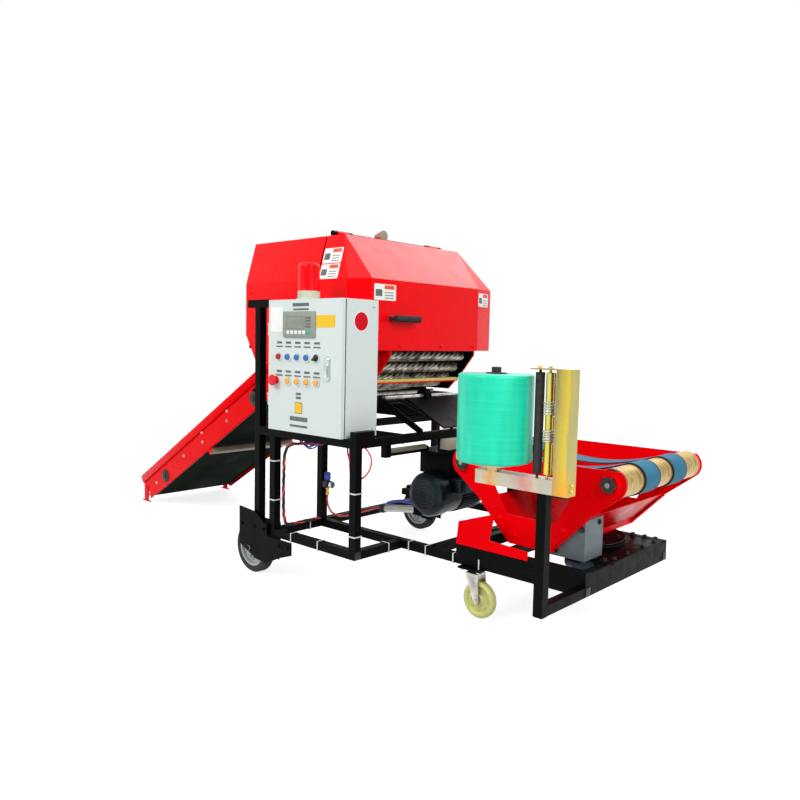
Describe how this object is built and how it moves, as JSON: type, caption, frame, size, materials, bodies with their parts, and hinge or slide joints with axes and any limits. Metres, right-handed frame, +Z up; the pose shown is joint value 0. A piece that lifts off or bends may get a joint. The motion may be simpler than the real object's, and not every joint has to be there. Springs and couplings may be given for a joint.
{
  "type": "stationary round baler with bale wrapper",
  "caption": "Small electric round baler and bale wrapper with infeed conveyor, lifting tailgate, control cabinet, slack-belt turntable and film stand on small wheels.",
  "frame": {"origin": "centre of the bounding box on the floor", "axes": "+X along the machine from the infeed conveyor to the wrapper, +Y across it away from the operator side, +Z up"},
  "size_m": [2.9116, 1.1523, 1.373],
  "materials": {
    "machine_black": "black powder coat, satin",
    "machine_red": "bright red paint, semi-gloss",
    "cabinet_paint": "pale grey-green powder coat",
    "zinc_steel": "zinc plated, satin",
    "roller_steel": "bare steel with a twisted rib",
    "yellow_zinc": "yellow passivated zinc",
    "tyre_black": "solid black rubber tyre on a pale rim",
    "caster_cream": "cream polyurethane",
    "belt_green": "dark green conveyor belt",
    "belt_blue": "blue woven belt",
    "black_plastic": "black plastic, matte",
    "motor_paint": "dark paint on ribbed casting",
    "cylinder_metal": "anodised tube",
    "hose_blue": "blue air hose and bowl",
    "hose_red": "red sheathed hose and cable",
    "panel_grey": "grey panel bezel and dark screen",
    "button_blue": "coloured push buttons on a pale strip",
    "button_yellow": "coloured push buttons on a pale strip",
    "stop_red": "red mushroom button",
    "lock_chrome": "polished lock body",
    "beacon_grey": "pale grey plastic",
    "beacon_red": "red ribbed lens",
    "bracket_grey": "blue-grey paint",
    "film_teal": "wound stretch film"
  },
  "bodies": {
    "machine": {"base_frame": "machine_black", "machine_stand": "machine_black", "near_wheel_fork": "machine_black", "far_wheel_fork": "machine_black", "near_caster_mount": "zinc_steel", "far_caster_mount": "zinc_steel", "conveyor_frame": "machine_red", "conveyor_belt": "belt_green", "chamber_frame": "machine_black", "fixed_hood": "machine_red", "tailgate_hinge": "machine_black", "exit_ramp": "machine_black", "drive_motor": "motor_paint", "air_cylinder": "cylinder_metal", "air_regulator": "hose_blue", "blue_air_hose": "hose_blue", "red_air_hose": "hose_red", "cabinet_cable": "hose_red", "cabinet_body": "cabinet_paint", "beacon_base": "beacon_grey", "beacon_lens": "beacon_red", "table_base": "machine_black", "side_guard": "machine_red", "film_post": "machine_black", "film_arm": "zinc_steel", "film_channel": "yellow_zinc"},
    "near_wheel": {"near_wheel": "tyre_black"},
    "far_wheel": {"far_wheel": "tyre_black"},
    "near_caster_swivel": {"near_caster_fork": "zinc_steel"},
    "near_caster_wheel": {"near_caster_wheel": "caster_cream"},
    "far_caster_swivel": {"far_caster_fork": "zinc_steel"},
    "far_caster_wheel": {"far_caster_wheel": "caster_cream"},
    "tailgate": {"tailgate_hood": "machine_red", "tailgate_frame": "machine_red", "tailgate_handle": "black_plastic"},
    "cabinet_door": {"cabinet_door": "cabinet_paint", "control_display": "panel_grey", "upper_buttons": "button_blue", "lower_buttons": "button_yellow", "emergency_stop": "stop_red", "door_lock": "lock_chrome"},
    "turntable": {"turntable_plate": "bracket_grey", "cradle_frame": "machine_red", "cradle_front_roller": "zinc_steel", "cradle_back_roller": "zinc_steel", "cradle_near_belt": "belt_blue", "cradle_far_belt": "belt_blue"},
    "film_roll": {"film_roll": "film_teal"},
    "stretch_roller_black": {"stretch_roller_black": "black_plastic"},
    "stretch_roller_gold": {"stretch_roller_gold": "yellow_zinc"},
    "tailgate_roller_1": {"tailgate_roller_1": "roller_steel"},
    "tailgate_roller_2": {"tailgate_roller_2": "roller_steel"},
    "tailgate_roller_3": {"tailgate_roller_3": "roller_steel"},
    "tailgate_roller_4": {"tailgate_roller_4": "roller_steel"}
  },
  "joints": [
    {"name": "tailgate_hinge", "type": "hinge", "parent": "machine", "child": "tailgate", "pos_m": [0.1888, 0.1308, 1.345], "axis": [0, -1, 0], "range_deg": [0, 70]},
    {"name": "tailgate_roller_1_spin", "type": "hinge", "parent": "tailgate", "child": "tailgate_roller_1", "pos_m": [0.25772, 0.1308, 0.74764], "axis": [0, 1, 0], "continuous": true},
    {"name": "tailgate_roller_2_spin", "type": "hinge", "parent": "tailgate", "child": "tailgate_roller_2", "pos_m": [0.30932, 0.1308, 0.77743], "axis": [0, 1, 0], "continuous": true},
    {"name": "tailgate_roller_3_spin", "type": "hinge", "parent": "tailgate", "child": "tailgate_roller_3", "pos_m": [0.3536, 0.1308, 0.8173], "axis": [0, 1, 0], "continuous": true},
    {"name": "tailgate_roller_4_spin", "type": "hinge", "parent": "tailgate", "child": "tailgate_roller_4", "pos_m": [0.38862, 0.1308, 0.8655], "axis": [0, 1, 0], "continuous": true},
    {"name": "cabinet_door_hinge", "type": "hinge", "parent": "machine", "child": "cabinet_door", "pos_m": [0.1658, -0.4912, 0.825], "axis": [0, 0, -1], "range_deg": [0, 120]},
    {"name": "turntable_spin", "type": "hinge", "parent": "machine", "child": "turntable", "pos_m": [1.1288, 0.1208, 0.25], "axis": [0, 0, 1], "continuous": true},
    {"name": "film_roll_spin", "type": "hinge", "parent": "machine", "child": "film_roll", "pos_m": [1.1868, -0.4672, 0.7], "axis": [0, 0, 1], "continuous": true},
    {"name": "stretch_roller_black_spin", "type": "hinge", "parent": "machine", "child": "stretch_roller_black", "pos_m": [1.3278, -0.4592, 0.7], "axis": [0, 0, 1], "continuous": true},
    {"name": "stretch_roller_gold_spin", "type": "hinge", "parent": "machine", "child": "stretch_roller_gold", "pos_m": [1.3598, -0.4592, 0.7], "axis": [0, 0, 1], "continuous": true},
    {"name": "near_wheel_spin", "type": "hinge", "parent": "machine", "child": "near_wheel", "pos_m": [0.0438, -0.4567, 0.1], "axis": [0, 1, 0], "continuous": true},
    {"name": "far_wheel_spin", "type": "hinge", "parent": "machine", "child": "far_wheel", "pos_m": [0.0438, 0.5358, 0.1], "axis": [0, 1, 0], "continuous": true},
    {"name": "near_caster_swivel", "type": "hinge", "parent": "machine", "child": "near_caster_swivel", "pos_m": [0.9508, -0.2242, 0.15], "axis": [0, 0, 1], "continuous": true},
    {"name": "near_caster_wheel_spin", "type": "hinge", "parent": "near_caster_swivel", "child": "near_caster_wheel", "pos_m": [0.9758, -0.2242, 0.0625], "axis": [0, 1, 0], "continuous": true},
    {"name": "far_caster_swivel", "type": "hinge", "parent": "machine", "child": "far_caster_swivel", "pos_m": [0.9508, 0.4858, 0.15], "axis": [0, 0, 1], "continuous": true},
    {"name": "far_caster_wheel_spin", "type": "hinge", "parent": "far_caster_swivel", "child": "far_caster_wheel", "pos_m": [0.9758, 0.4858, 0.0625], "axis": [0, 1, 0], "continuous": true}
  ]
}
